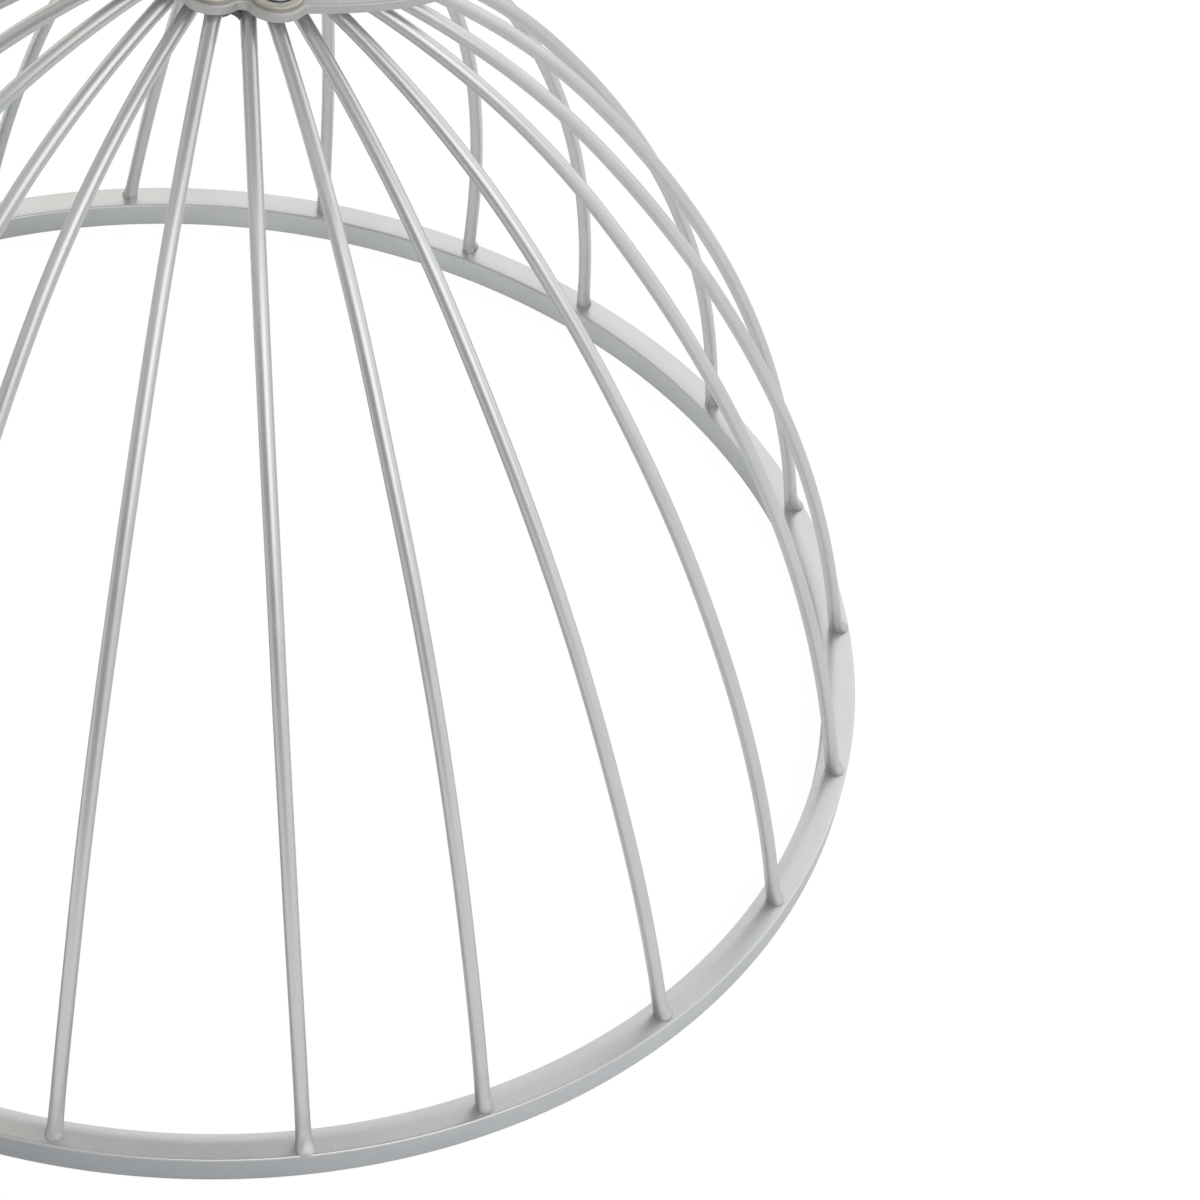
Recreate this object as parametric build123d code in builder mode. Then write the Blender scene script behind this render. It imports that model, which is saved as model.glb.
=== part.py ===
"""Wire cage lamp shade: a square-bar hoop, a dome of round wire ribs and an oval hub plate with a collar.

Millimetres, +Z up. The origin is the centre of the hoop's underside, and the shade stands on it.
"""
import os
from math import asin, degrees, radians, sin

from build123d import *

# Base hoop, a ring of square bar
HOOP_DIAMETER = 440.0
HOOP_BAR = 10.0
HOOP_OUTER_EDGE = 0.7
HOOP_INNER_EDGE = 1.6

# Ribs, flat-bent round wire standing on the middle of the hoop's top face
RIB_COUNT = 22
RIB_WIRE = 4.5
FIRST_RIB_ANGLE = -80.0
RIB_FOOT_LEAN = 12.0
SIDE_REACH = 108.0
SIDE_RISE = 210.0
CROWN_RISE = 57.0
RIB_TAIL = 6.0

# Every rib lands beside the radius through its foot by this step, however far it is laid over
RIB_SIDESTEP = 5.0

# Hand-set ribs: how far each foot wanders from even spacing and how far each rib is laid over,
# in degrees, the same in both halves of the cage
RIB_WANDER = (0.5, -1, 0.5, 0.5, 0.5, 1.5, 1, 0, 1.5, -1.5, -2.5)
RIB_LAY = (6, 5, 8, 4, -1, 5, 6, 7, 5, 7, 0)

# Hub plate, an oval plate with round ears lying on the ends of the ribs, bored for the lamp holder
HUB_LENGTH = 128.0
HUB_WIDTH = 58.0
HUB_THICKNESS = 3.0
HUB_BORE = 10.5
HUB_EDGE = 0.6
HUB_COVER = 1.0
EAR_DIAMETER = 18.0
EAR_REACH = 25.5
EAR_SPREAD = 20.0
EAR_TURN = -3.0
EAR_BLEND = 2.0

# Collar, a short open tube standing on the hub plate
COLLAR_DIAMETER = 32.0
COLLAR_WALL = 2.0
COLLAR_HEIGHT = 24.0
COLLAR_EDGE = 0.6

# A ring washer and a pan-head screw on each ear
WASHER_DIAMETER = 15.5
WASHER_BORE = 10.5
WASHER_THICKNESS = 1.2
WASHER_EDGE = 0.4
SCREW_HEAD_GAP = 0.4
SCREW_HEAD_HEIGHT = 2.0
SCREW_HEAD_EDGE = 1.2
SCREW_SHANK = 4.0
SCREW_CLEARANCE = 0.1

# Places worked out from the sizes above
FOOT_RADIUS = HOOP_DIAMETER / 2 - HOOP_BAR / 2
RIB_TOP_RADIUS = HUB_WIDTH / 2 - HUB_COVER
RIB_TOP_REACH = FOOT_RADIUS - RIB_TOP_RADIUS
RIB_TOP_RISE = SIDE_RISE + CROWN_RISE
RIB_ROOT = 4 * RIB_WIRE
HUB_UNDERSIDE = HOOP_BAR + RIB_TOP_RISE + RIB_WIRE / 2
HUB_TOP = HUB_UNDERSIDE + HUB_THICKNESS
EAR_ANGLES = {
    "front_left": -90 + EAR_TURN - EAR_SPREAD,
    "front_right": -90 + EAR_TURN + EAR_SPREAD,
    "back_left": 90 + EAR_TURN + EAR_SPREAD,
    "back_right": 90 + EAR_TURN - EAR_SPREAD,
}


def save(piece, name):
    """Label a finished piece and write it to its own file."""
    piece.part.label = name
    export_step(piece.part, f"parts/{name}.step")


def rib_plane(angle, lay):
    """Plane of one rib: origin at its foot, x towards the middle of the shade, y up the rib."""
    sideways = RIB_TOP_RISE * sin(radians(lay)) - RIB_SIDESTEP
    turned = angle - degrees(asin(sideways / RIB_TOP_REACH))
    inward = Vector(-1, 0, 0).rotate(Axis.Z, turned)
    across = Vector(0, 1, 0).rotate(Axis.Z, turned).rotate(Axis((0, 0, 0), inward), -lay)
    foot = Vector(FOOT_RADIUS, 0, HOOP_BAR).rotate(Axis.Z, angle)
    return Plane(origin=foot, x_dir=inward, z_dir=across)


def ear_place(angle):
    """Middle of one ear, on the hub plate's top face."""
    return Vector(EAR_REACH, 0, HUB_TOP).rotate(Axis.Z, angle)


os.makedirs("parts", exist_ok=True)

# Base hoop: a square section turned round the axis, its inner corners rounded more than its outer ones
with BuildPart() as base_hoop:
    with BuildSketch(Plane.XZ) as section:
        with Locations((FOOT_RADIUS, HOOP_BAR / 2)):
            Rectangle(HOOP_BAR, HOOP_BAR)
        fillet(section.vertices().group_by(Axis.X)[0], HOOP_INNER_EDGE)
        fillet(section.vertices().group_by(Axis.X)[-1], HOOP_OUTER_EDGE)
    revolve(axis=Axis.Z)
save(base_hoop, "base_hoop")

# The bend of every rib, drawn flat: a side arc and a crown arc, run on straight past both ends
up_the_foot = Vector(0, 1).rotate(Axis.Z, -RIB_FOOT_LEAN)
shoulder = (SIDE_REACH, SIDE_RISE)
with BuildLine() as bend:
    Line(-up_the_foot * RIB_ROOT, (0, 0))
    side = TangentArc((0, 0), shoulder, tangent=up_the_foot)
    crown = TangentArc(shoulder, (RIB_TOP_REACH, RIB_TOP_RISE), tangent=side % 1)
    Line(crown @ 1, crown @ 1 + (crown % 1) * RIB_TAIL)

# Ribs: round wire along the bend, cut flush with the hoop's top face and the hub's underside
for number in range(RIB_COUNT):
    wander = RIB_WANDER[number % len(RIB_WANDER)]
    lay = RIB_LAY[number % len(RIB_LAY)]
    path = rib_plane(FIRST_RIB_ANGLE + number * 360 / RIB_COUNT + wander, lay) * bend.line
    with BuildPart() as rib:
        with BuildSketch(Plane(origin=path @ 0, z_dir=path % 0)):
            Circle(RIB_WIRE / 2)
        sweep(path=path)
        split(bisect_by=Plane.XY.offset(HOOP_BAR), keep=Keep.TOP)
        split(bisect_by=Plane.XY.offset(HUB_UNDERSIDE), keep=Keep.BOTTOM)
    save(rib, f"rib_{number + 1:02d}")

# Hub plate: an oval with its ears blended in, bored for the lamp holder and the screws
with BuildPart() as hub_plate:
    with BuildSketch(Plane.XY.offset(HUB_UNDERSIDE)) as outline:
        Ellipse(HUB_LENGTH / 2, HUB_WIDTH / 2)
        for angle in EAR_ANGLES.values():
            ear = ear_place(angle)
            with Locations((ear.X, ear.Y)):
                Circle(EAR_DIAMETER / 2)
        fillet(outline.vertices(), EAR_BLEND)
    extrude(amount=HUB_THICKNESS)
    fillet(hub_plate.faces().sort_by(Axis.Z)[-1].edges(), HUB_EDGE)
    with BuildSketch(Plane.XY.offset(HUB_TOP)):
        Circle(HUB_BORE / 2)
        for angle in EAR_ANGLES.values():
            ear = ear_place(angle)
            with Locations((ear.X, ear.Y)):
                Circle(SCREW_SHANK / 2 + SCREW_CLEARANCE)
    extrude(amount=-HUB_THICKNESS, mode=Mode.SUBTRACT)
save(hub_plate, "hub_plate")

# Collar: a short tube with a rounded rim
with BuildPart() as collar:
    with BuildSketch(Plane.XY.offset(HUB_TOP)):
        Circle(COLLAR_DIAMETER / 2)
        Circle(COLLAR_DIAMETER / 2 - COLLAR_WALL, mode=Mode.SUBTRACT)
    extrude(amount=COLLAR_HEIGHT)
    fillet(collar.faces().sort_by(Axis.Z)[-1].edges(), COLLAR_EDGE)
save(collar, "collar")

for place, angle in EAR_ANGLES.items():
    seat = Plane(origin=ear_place(angle))

    # Ring washer: a flat ring with a rounded rim, lying on the ear
    with BuildPart() as washer:
        with BuildSketch(seat):
            Circle(WASHER_DIAMETER / 2)
            Circle(WASHER_BORE / 2, mode=Mode.SUBTRACT)
        extrude(amount=WASHER_THICKNESS)
        fillet(washer.faces().sort_by(Axis.Z)[-1].edges(), WASHER_EDGE)
    save(washer, f"washer_{place}")

    # Pan-head screw: its head inside the washer, its shank through the plate
    with BuildPart() as screw:
        with BuildSketch(seat):
            Circle(WASHER_BORE / 2 - SCREW_HEAD_GAP)
        extrude(amount=SCREW_HEAD_HEIGHT)
        fillet(screw.faces().sort_by(Axis.Z)[-1].edges(), SCREW_HEAD_EDGE)
        with BuildSketch(seat):
            Circle(SCREW_SHANK / 2)
        extrude(amount=-HUB_THICKNESS)
    save(screw, f"screw_{place}")
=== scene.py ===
"""Looks of a welded wire lamp shade: bent hoop, wire ribs, welds, screws, silver paint and a plain studio.

It is laid out as an add-on and run as a script. Sizes are in metres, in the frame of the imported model.
"""
import math

import bpy
from mathutils import Matrix, Quaternion, Vector


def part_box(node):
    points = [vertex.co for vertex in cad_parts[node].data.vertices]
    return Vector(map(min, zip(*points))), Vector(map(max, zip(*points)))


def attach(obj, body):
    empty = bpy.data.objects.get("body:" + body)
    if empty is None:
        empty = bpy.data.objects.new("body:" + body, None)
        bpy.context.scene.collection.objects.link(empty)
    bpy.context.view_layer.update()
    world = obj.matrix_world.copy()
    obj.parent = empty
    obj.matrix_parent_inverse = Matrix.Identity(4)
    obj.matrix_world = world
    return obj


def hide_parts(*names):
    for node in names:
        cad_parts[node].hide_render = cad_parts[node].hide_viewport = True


bl_info = {
    "name": "Wire cage lamp shade",
    "version": (1, 0, 0),
    "blender": (4, 5, 0),
    "location": "View3D > Sidebar > Cage shade",
    "description": "Hoop, ribs, welds, screws, paint and studio of a welded wire lamp shade",
    "category": "Object",
}

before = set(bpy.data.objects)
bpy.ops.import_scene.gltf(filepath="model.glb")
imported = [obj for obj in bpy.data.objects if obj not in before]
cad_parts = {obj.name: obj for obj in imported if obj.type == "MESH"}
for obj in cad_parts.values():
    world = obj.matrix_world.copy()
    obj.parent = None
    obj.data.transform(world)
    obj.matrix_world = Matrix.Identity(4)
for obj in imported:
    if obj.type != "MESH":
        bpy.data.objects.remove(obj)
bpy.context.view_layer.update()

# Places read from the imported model
RIB_NODES = sorted(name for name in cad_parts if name.startswith("rib_"))
WASHER_NODES = sorted(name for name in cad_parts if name.startswith("washer_"))
SCREW_NODES = sorted(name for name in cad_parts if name.startswith("screw_"))
HOOP_LOW, HOOP_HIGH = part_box("base_hoop")
HUB_LOW, HUB_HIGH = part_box("hub_plate")
HOOP_BAR = HOOP_HIGH.z - HOOP_LOW.z
FOOT_RADIUS = HOOP_HIGH.x - HOOP_BAR / 2
COLLAR_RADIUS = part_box("collar")[1].x

# Ribs: how far each foot wanders from even spacing and how far each rib is laid over,
# in degrees, the same in both halves of the cage
RIB_WANDER = (0.5, -1, 0.5, 0.5, 0.5, 1.5, 1, 0, 1.5, -1.5, -2.5)
RIB_LAY = (6, 5, 8, 4, -1, 5, 6, 7, 5, 7, 0)

UP = Vector((0, 0, 1))
WHITE = (1.0, 1.0, 1.0, 1.0)

# Edges that are bent more than this stay crisp
CRISP_ANGLE = math.radians(40)


class HoopSizes(bpy.types.PropertyGroup):
    """Section of the bent bar."""
    outer_edge: bpy.props.FloatProperty(
        name="Outer edge", description="Rounding of the outer corners", default=0.0007, unit="LENGTH")
    inner_edge: bpy.props.FloatProperty(
        name="Inner edge", description="Rounding of the inner corners", default=0.0008, unit="LENGTH")
    camber: bpy.props.FloatProperty(
        name="Camber", description="Width of the top face that falls away to the inner corner",
        default=0.0044, unit="LENGTH")
    fall: bpy.props.FloatProperty(
        name="Fall", description="Steepest slope of the camber", default=math.radians(13), unit="ROTATION")


class RibSizes(bpy.types.PropertyGroup):
    """Bend and spacing of the ribs."""
    wire: bpy.props.FloatProperty(
        name="Wire", description="Diameter of the round wire", default=0.0045, unit="LENGTH")
    first: bpy.props.FloatProperty(
        name="First rib", description="Angle of the first rib's foot from +X",
        default=math.radians(-80), unit="ROTATION")
    lean: bpy.props.FloatProperty(
        name="Foot lean", description="Lean of the wire inwards at its foot",
        default=math.radians(12), unit="ROTATION")
    reach: bpy.props.FloatProperty(
        name="Side reach", description="How far the side arc comes in", default=0.108, unit="LENGTH")
    rise: bpy.props.FloatProperty(
        name="Side rise", description="How far the side arc goes up", default=0.210, unit="LENGTH")
    top_radius: bpy.props.FloatProperty(
        name="Top radius", description="Distance of a rib's top from the axis",
        default=0.028, unit="LENGTH")
    tail: bpy.props.FloatProperty(
        name="Tail", description="Straight end of a rib under the hub plate", default=0.006, unit="LENGTH")
    sidestep: bpy.props.FloatProperty(
        name="Sidestep", description="How far a rib's top lands beside the radius through its foot",
        default=0.005, unit="LENGTH")
    sunk: bpy.props.FloatProperty(
        name="Sunk", description="How far both ends are melted into their seats",
        default=0.0003, unit="LENGTH")
    waver: bpy.props.FloatProperty(
        name="Waver", description="Sideways unevenness of the bent wire", default=0.0005, unit="LENGTH")


class WeldSizes(bpy.types.PropertyGroup):
    """Welds at both ends of the ribs and round the collar."""
    foot_fillet: bpy.props.FloatProperty(
        name="Foot fillet", description="How far a foot's weld spreads past the wire",
        default=0.0005, unit="LENGTH")
    foot_height: bpy.props.FloatProperty(
        name="Foot height", description="How far a foot's weld climbs the wire",
        default=0.0110, unit="LENGTH")
    foot_smear: bpy.props.FloatProperty(
        name="Foot smear", description="How far a foot's weld runs towards the hoop's outer edge",
        default=0.0030, unit="LENGTH")
    foot_soot: bpy.props.FloatProperty(
        name="Foot soot", description="Soot in the pits of a foot's weld", default=0.2, subtype="FACTOR")
    # Painted shade: the soot colour laid down one side of each foot's weld stands in for the shade on that
    # side
    foot_side_shade: bpy.props.FloatProperty(
        name="Foot side shade", description="Soot down one side of a foot's weld",
        default=0.5, subtype="FACTOR")
    lip: bpy.props.FloatProperty(
        name="Lip", description="Thickness of the weld where it runs over the hoop's edge",
        default=0.00025, unit="LENGTH")
    crown_fillet: bpy.props.FloatProperty(
        name="Crown fillet", description="How far a weld under the hub plate spreads past the wire",
        default=0.0019, unit="LENGTH")
    crown_height: bpy.props.FloatProperty(
        name="Crown height", description="How far down from the hub plate a weld reaches",
        default=0.0060, unit="LENGTH")
    crown_soot: bpy.props.FloatProperty(
        name="Crown soot", description="Soot in the pits of a weld under the hub plate",
        default=0.95, subtype="FACTOR")
    skin: bpy.props.FloatProperty(
        name="Skin", description="Thickness of a weld where it thins out on the wire",
        default=0.00005, unit="LENGTH")
    web: bpy.props.FloatProperty(
        name="Web", description="Radius of the bead that bridges two ribs beside the ears",
        default=0.0015, unit="LENGTH")
    web_soot: bpy.props.FloatProperty(
        name="Web soot", description="Soot on the bead that bridges two ribs",
        default=0.9, subtype="FACTOR")
    collar_bead: bpy.props.FloatProperty(
        name="Collar bead", description="Radius of the bead round the collar's foot",
        default=0.0013, unit="LENGTH")
    lumps: bpy.props.FloatProperty(
        name="Lumps", description="Unevenness of the welds", default=0.0009, unit="LENGTH")


class ScrewSizes(bpy.types.PropertyGroup):
    """Pan-head screws on the hub plate's ears."""
    head: bpy.props.FloatProperty(
        name="Head", description="Radius of the head", default=0.00485, unit="LENGTH")
    head_height: bpy.props.FloatProperty(
        name="Head height", description="Height of the head", default=0.0020, unit="LENGTH")
    shank: bpy.props.FloatProperty(
        name="Shank", description="Outer radius of the thread", default=0.0020, unit="LENGTH")
    pitch: bpy.props.FloatProperty(
        name="Pitch", description="Pitch of the thread", default=0.0007, unit="LENGTH")
    slot: bpy.props.FloatVectorProperty(
        name="Slot", description="Width and depth of the driver slot",
        size=2, default=(0.0011, 0.0009), unit="LENGTH")


class PaintColours(bpy.types.PropertyGroup):
    """Colours of the finishes."""
    silver_light: bpy.props.FloatVectorProperty(
        name="Silver, light", description="Lighter tone of the silver paint",
        subtype="COLOR", default=(0.656, 0.665, 0.668))
    silver_dark: bpy.props.FloatVectorProperty(
        name="Silver, dark", description="Darker tone of the silver paint",
        subtype="COLOR", default=(0.556, 0.565, 0.571))
    # This dark brown is soot in the weld pits and also painted shade down one side of each foot's weld
    soot: bpy.props.FloatVectorProperty(
        name="Soot", description="Dark brown left in the pits of the welds",
        subtype="COLOR", default=(0.17, 0.155, 0.14))
    plating: bpy.props.FloatVectorProperty(
        name="Plating", description="Yellowish plating of the ring washers",
        subtype="COLOR", default=(0.57, 0.55, 0.48))
    # The hub's paint is the silver darkened: painted shade on the hub plate
    hub: bpy.props.FloatVectorProperty(
        name="Hub", description="Paint of the hub plate, dulled by the welding under it",
        subtype="COLOR", default=(0.55, 0.545, 0.54))
    steel: bpy.props.FloatVectorProperty(
        name="Steel", description="Plain steel of the screws",
        subtype="COLOR", default=(0.38, 0.40, 0.43))


class StudioSizes(bpy.types.PropertyGroup):
    """Camera, lights and ground."""
    focal: bpy.props.FloatProperty(
        name="Focal length", description="Focal length of the camera, in millimetres", default=103.76)
    eye: bpy.props.FloatVectorProperty(
        name="Eye", description="Place of the camera",
        size=3, default=(0.0, -0.8008, 0.8541), unit="LENGTH")
    right: bpy.props.FloatVectorProperty(
        name="Right", description="Direction of the picture's right side",
        size=3, default=(0.9912, -0.0280, 0.1294))
    forward: bpy.props.FloatVectorProperty(
        name="Forward", description="Direction in which the camera looks",
        size=3, default=(0.1126, 0.6918, -0.7132))
    key: bpy.props.FloatProperty(
        name="Key", description="Brightness of the soft box", default=0.95)
    left_tone: bpy.props.FloatVectorProperty(
        name="Left tone", description="Tone of the card on the left",
        subtype="COLOR", default=(0.65, 0.65, 0.635))
    front_tone: bpy.props.FloatVectorProperty(
        name="Front tone", description="Tone of the sloping card in front",
        subtype="COLOR", default=(0.355, 0.355, 0.345))
    ceiling_tone: bpy.props.FloatVectorProperty(
        name="Ceiling tone", description="Tone of the ceiling",
        subtype="COLOR", default=(0.408, 0.39, 0.354))
    floor_tone: bpy.props.FloatVectorProperty(
        name="Floor tone", description="Tone of the pale floor",
        subtype="COLOR", default=(0.95, 0.95, 0.95))
    # Painted shadow: the sheet under the hoop stands in for the hoop's contact shadow and the fall of
    # light, dark on the left and pale on the right
    shade_sheet_left: bpy.props.FloatVectorProperty(
        name="Shade sheet, left", description="Tone of the mat on the left",
        subtype="COLOR", default=(0.49, 0.505, 0.525))
    shade_sheet_right: bpy.props.FloatVectorProperty(
        name="Shade sheet, right", description="Tone of the mat on the right",
        subtype="COLOR", default=(0.97, 0.985, 1.0))
    shade_sheet_radius: bpy.props.FloatProperty(
        name="Shade sheet radius", description="Radius of the round mat under the hoop",
        default=0.245, unit="LENGTH")
    backdrop: bpy.props.FloatVectorProperty(
        name="Backdrop", description="Brightness of the surroundings in reflections, in front and behind",
        size=2, default=(0.80, 1.22))
    backdrop_left: bpy.props.FloatVectorProperty(
        name="Backdrop, left", description="Tint of the surroundings in reflections, on the left",
        subtype="COLOR", default=(0.94, 0.91, 0.85))
    backdrop_right: bpy.props.FloatVectorProperty(
        name="Backdrop, right", description="Tint of the surroundings in reflections, on the right",
        subtype="COLOR", default=(1.01, 1.015, 1.015))
    room: bpy.props.FloatProperty(
        name="Room", description="Brightness of the room as it lights the object", default=0.75)


class NodeSheet:
    """Adds nodes to a tree, each input given as a value or as the socket that feeds it."""

    def __init__(self, tree):
        self.tree = tree

    def add(self, kind, inputs=None, **settings):
        node = self.tree.nodes.new(kind)
        for name, value in settings.items():
            setattr(node, name, value)
        for key, value in (inputs or {}).items():
            if isinstance(value, bpy.types.NodeSocket):
                self.tree.links.new(value, node.inputs[key])
            else:
                node.inputs[key].default_value = value
        return node

    def math(self, operation, first, second=0.0):
        return self.add("ShaderNodeMath", {0: first, 1: second}, operation=operation).outputs[0]

    def vector(self, operation, first, second=(0.0, 0.0, 0.0)):
        node = self.add("ShaderNodeVectorMath", {0: first, 1: second}, operation=operation)
        return node.outputs["Value" if operation == "DOT_PRODUCT" else "Vector"]

    def scaled(self, vector, size):
        return self.add("ShaderNodeVectorMath", {0: vector, "Scale": size}, operation="SCALE").outputs[0]

    def split(self, vector):
        """The x, y and z of a vector."""
        return self.add("ShaderNodeSeparateXYZ", {0: vector}).outputs[:]

    def joined(self, x, y, z):
        return self.add("ShaderNodeCombineXYZ", {"X": x, "Y": y, "Z": z}).outputs[0]

    def noise(self, place, scale, detail, roughness=0.5):
        return self.add("ShaderNodeTexNoise", {
            "Vector": place, "Scale": scale, "Detail": detail, "Roughness": roughness}).outputs["Fac"]

    def seeded_noise(self, place, seed, scale, detail):
        """The outputs of a noise that changes with a seed."""
        return self.add("ShaderNodeTexNoise", {
            "Vector": place, "W": seed, "Scale": scale, "Detail": detail}, noise_dimensions="4D").outputs

    def ranged(self, value, low, high, start=0.0, end=1.0, interpolation="LINEAR"):
        """A value carried from one range to another, and held inside it."""
        return self.add("ShaderNodeMapRange", {
            "Value": value, "From Min": low, "From Max": high, "To Min": start, "To Max": end},
            interpolation_type=interpolation).outputs[0]

    def colour(self, share, first, second):
        """A colour between two, each of them a socket or red, green and blue."""
        a, b = (end if isinstance(end, bpy.types.NodeSocket) else (*end, 1.0) for end in (first, second))
        return self.add("ShaderNodeMix", {"Factor": share, 6: a, 7: b}, data_type="RGBA").outputs[2]

    def attribute(self, name, output="Fac"):
        """What a tree has kept on a piece's points, for its material."""
        return self.add("ShaderNodeAttribute", attribute_name=name).outputs[output]

    def place(self):
        return self.add("GeometryNodeInputPosition").outputs[0]

    def mark(self, geometry, name, value, kind="FLOAT"):
        """Geometry whose points keep a value under a name."""
        return self.add("GeometryNodeStoreNamedAttribute", {
            "Geometry": geometry, "Name": name, "Value": value}, data_type=kind, domain="POINT").outputs[0]

    def resampled(self, curve, count):
        return self.add("GeometryNodeResampleCurve", {"Curve": curve, "Count": count}).outputs[0]

    def ring(self, sides):
        return self.add("GeometryNodeCurvePrimitiveCircle", {"Resolution": sides, "Radius": 1.0}).outputs[0]

    def tube(self, curve, ring, radius, caps):
        return self.add("GeometryNodeCurveToMesh", {
            "Curve": curve, "Profile Curve": ring, "Scale": radius, "Fill Caps": caps}).outputs[0]

    def shifted(self, geometry, offset):
        return self.add("GeometryNodeSetPosition", {"Geometry": geometry, "Offset": offset}).outputs[0]

    def put_at(self, geometry, place):
        return self.add("GeometryNodeSetPosition", {"Geometry": geometry, "Position": place}).outputs[0]


def settings():
    return bpy.context.scene.cage_shade


def new_object(name, data):
    """An object in the scene."""
    item = bpy.data.objects.new(name, data)
    bpy.context.scene.collection.objects.link(item)
    return item


def keep_piece(name, mesh):
    """An object that rides on the body."""
    piece = new_object(name, mesh)
    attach(piece, "root")
    return piece


def bake_tree(name, data, tree, values):
    """Runs a tree on some data and keeps the result as a plain mesh that rides on the body."""
    maker = new_object(name + "_maker", data)
    modifier = maker.modifiers.new("tree", "NODES")
    modifier.node_group = tree
    for item in tree.interface.items_tree:
        if item.item_type == "SOCKET" and item.in_out == "INPUT" and item.name in values:
            modifier[item.identifier] = values[item.name]
    evaluated = maker.evaluated_get(bpy.context.evaluated_depsgraph_get())
    mesh = bpy.data.meshes.new_from_object(evaluated)
    bpy.data.objects.remove(maker)
    mesh.name = name
    return keep_piece(name, mesh)


def new_tree(name, floats=(), vectors=()):
    """A geometry tree with the named inputs and a material, its sheet, and the sockets of its inputs."""
    tree = bpy.data.node_groups.new(name, "GeometryNodeTree")
    kinds = {"Geometry": "NodeSocketGeometry", "Material": "NodeSocketMaterial"}
    kinds |= dict.fromkeys(floats, "NodeSocketFloat") | dict.fromkeys(vectors, "NodeSocketVector")
    for label, kind in kinds.items():
        tree.interface.new_socket(label, in_out="INPUT", socket_type=kind)
    tree.interface.new_socket("Geometry", in_out="OUTPUT", socket_type="NodeSocketGeometry")
    sheet = NodeSheet(tree)
    return tree, sheet, sheet.add("NodeGroupInput").outputs


def close_tree(sheet, geometry, material):
    """Ends a tree in plain geometry with its material, smooth but for its crisp edges."""
    realized = sheet.add("GeometryNodeRealizeInstances", {"Geometry": geometry})
    smooth = sheet.add("GeometryNodeSetShadeSmooth", {"Geometry": realized.outputs[0]})
    bent = sheet.add("GeometryNodeInputMeshEdgeAngle").outputs["Unsigned Angle"]
    crisp = sheet.add("GeometryNodeSetShadeSmooth", {
        "Geometry": smooth.outputs[0], "Selection": sheet.math("GREATER_THAN", bent, CRISP_ANGLE),
        "Shade Smooth": False}, domain="EDGE")
    painted = sheet.add("GeometryNodeSetMaterial", {"Geometry": crisp.outputs[0], "Material": material})
    sheet.add("NodeGroupOutput", {"Geometry": painted.outputs[0]})


# Materials

# The middle stretch of a noise, which holds most of its values
NOISE_LOW = 0.3
NOISE_HIGH = 0.7

# Fine lines on wire: how many there are round it, and how much they stretch along it
LINE_SCALE = 7.0
LINE_STRETCH = 5.0

# How much rougher a weld is than the paint beside it
WELD_ROUGHNESS = 0.32


def unevenness_group():
    """Shader group: cloudy tone, gloss and height of sprayed paint, with fine grain."""
    group = bpy.data.node_groups.get("sprayed_unevenness")
    if group:
        return group
    group = bpy.data.node_groups.new("sprayed_unevenness", "ShaderNodeTree")
    for label in ("Cloud scale", "Grain scale", "Grain share"):
        group.interface.new_socket(label, in_out="INPUT", socket_type="NodeSocketFloat")
    for label in ("Tone", "Gloss", "Height"):
        group.interface.new_socket(label, in_out="OUTPUT", socket_type="NodeSocketFloat")
    sheet = NodeSheet(group)
    source = sheet.add("NodeGroupInput").outputs
    place = sheet.add("ShaderNodeTexCoord").outputs["Object"]
    cloud = sheet.noise(place, source["Cloud scale"], detail=3.0, roughness=0.6)
    grain = sheet.noise(place, source["Grain scale"], detail=2.0, roughness=0.7)
    both = sheet.add("ShaderNodeMix", {"Factor": source["Grain share"], "A": cloud, "B": grain})
    tone = sheet.ranged(both.outputs["Result"], NOISE_LOW, NOISE_HIGH)
    sheet.add("NodeGroupOutput", {"Tone": tone, "Gloss": cloud, "Height": grain})
    return group


def bare_material(name):
    """A material with no nodes yet, and its sheet."""
    material = bpy.data.materials.new(name)
    material.use_nodes = True
    material.node_tree.nodes.clear()
    return material, NodeSheet(material.node_tree)


def wire_lines(sheet):
    """Fine lines that follow a wire, from the place along and round it."""
    x, y, _ = sheet.split(sheet.attribute("round", "Vector"))
    along = sheet.math("MULTIPLY", sheet.attribute("along"), LINE_STRETCH)
    lines = sheet.noise(sheet.joined(x, y, along), LINE_SCALE, detail=2.0, roughness=0.65)
    return sheet.ranged(lines, NOISE_LOW, NOISE_HIGH)


def metal_material(name, light, dark, metallic, roughness, clouds, grain, grain_share, bump,
                   lines=0.0, soot=None):
    """A metallic finish whose tone, gloss and height vary, with lines along a wire, or with soot and
    painted shade where asked.

    Clouds and grain are the scales of the two noises, and bump is its strength and its depth.
    """
    made = bpy.data.materials.get(name)
    if made:
        return made
    material, sheet = bare_material(name)
    uneven = sheet.add("ShaderNodeGroup", node_tree=unevenness_group())
    uneven.inputs["Cloud scale"].default_value = clouds
    uneven.inputs["Grain scale"].default_value = grain
    uneven.inputs["Grain share"].default_value = grain_share
    tone = uneven.outputs["Tone"]
    if lines:
        drawn = sheet.add("ShaderNodeMix", {"Factor": lines, "A": tone, "B": wire_lines(sheet)})
        tone = drawn.outputs["Result"]
    colour = sheet.colour(tone, dark, light)
    gloss = sheet.ranged(uneven.outputs["Gloss"], NOISE_LOW, NOISE_HIGH, roughness[0], roughness[1])
    # Soot in the weld pits, and painted shade down one side of each foot's weld, darken the colour here
    if soot:
        colour = sheet.colour(sheet.attribute("soot"), colour, soot)
        rougher = sheet.math("MULTIPLY", sheet.attribute("spread"), WELD_ROUGHNESS)
        gloss = sheet.math("ADD", gloss, rougher)
    bumped = sheet.add("ShaderNodeBump", {
        "Height": uneven.outputs["Height"], "Strength": bump[0], "Distance": bump[1]})
    shader = sheet.add("ShaderNodeBsdfPrincipled", {
        "Base Color": colour, "Roughness": gloss, "Normal": bumped.outputs[0], "Metallic": metallic})
    sheet.add("ShaderNodeOutputMaterial", {"Surface": shader.outputs[0]})
    return material


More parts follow.
